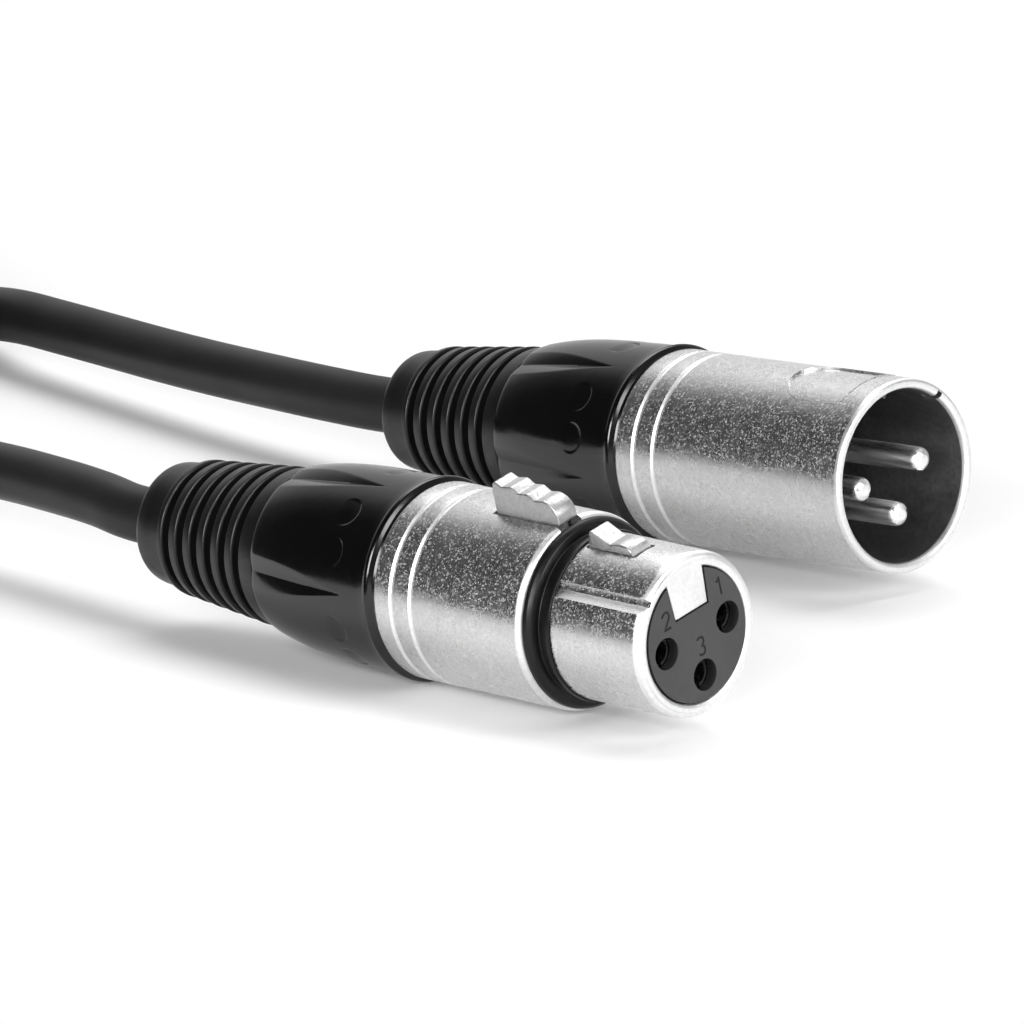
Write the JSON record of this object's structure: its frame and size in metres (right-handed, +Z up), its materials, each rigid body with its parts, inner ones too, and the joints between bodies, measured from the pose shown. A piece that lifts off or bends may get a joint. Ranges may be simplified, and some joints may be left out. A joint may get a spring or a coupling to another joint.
{
  "type": "xlr cable coil",
  "caption": "Microphone lead with a latching three-pole socket connector at one end, a three-pole plug connector at the other and the black cable between them coiled and strapped.",
  "frame": {"origin": "on the table, below the centre of the box round the two connectors", "axes": "+X along the connectors towards their mating faces, +Y from the socket connector towards the plug connector, +Z up from the table"},
  "size_m": [0.2405, 0.0898, 0.0225],
  "materials": {
    "shell_nickel": "satin nickel plating, sand-blasted, with bright turned rims",
    "latch_metal": "tumbled bright nickel",
    "socket_insert": "fine matte moulding",
    "plug_insert": "fine matte moulding",
    "nose_ring": "soft matte rubber",
    "chuck_plastic": "plain moulding",
    "bushing_plastic": "smooth gloss moulding",
    "boot_rubber": "matte rubber",
    "lug_metal": "tin-plated brass",
    "contact_metal": "silver-plated brass",
    "screen_metal": "tinned copper lead in clear sleeving",
    "core_red": "insulated core",
    "core_white": "insulated core",
    "cable_jacket": "satin black jacket",
    "tie_fabric": "hook-and-loop strap"
  },
  "bodies": {
    "root": {"female_shell": "shell_nickel", "female_insert": "socket_insert", "female_contact_1": "contact_metal", "female_contact_2": "contact_metal", "female_contact_3": "contact_metal", "latch_pin": "latch_metal", "latch_spring": "latch_metal", "female_nose_ring": "nose_ring", "female_ground_lug": "lug_metal", "female_chuck": "chuck_plastic", "female_bushing": "bushing_plastic", "female_boot": "boot_rubber", "female_wire_1": "screen_metal", "female_wire_2": "core_red", "female_wire_3": "core_white", "male_shell": "shell_nickel", "male_insert": "plug_insert", "male_pin_1": "contact_metal", "male_pin_2": "contact_metal", "male_pin_3": "contact_metal", "male_ground_lug": "lug_metal", "male_chuck": "chuck_plastic", "male_bushing": "bushing_plastic", "male_boot": "boot_rubber", "male_wire_1": "screen_metal", "male_wire_2": "core_red", "male_wire_3": "core_white", "cable_female_end": "cable_jacket", "cable_coil": "cable_jacket", "cable_male_end": "cable_jacket", "cable_tie": "tie_fabric"},
    "latch": {"female_latch": "latch_metal"}
  },
  "joints": [
    {"name": "latch_press", "type": "hinge", "parent": "root", "child": "latch", "pos_m": [0.02106, -0.03091, 0.01626], "axis": [0, 0.9636, 0.2672], "range_deg": [0, 6.3], "stiffness_Nm_per_rad": 0.15, "springref_deg": -5.73, "deforming": ["latch_spring"]}
  ]
}
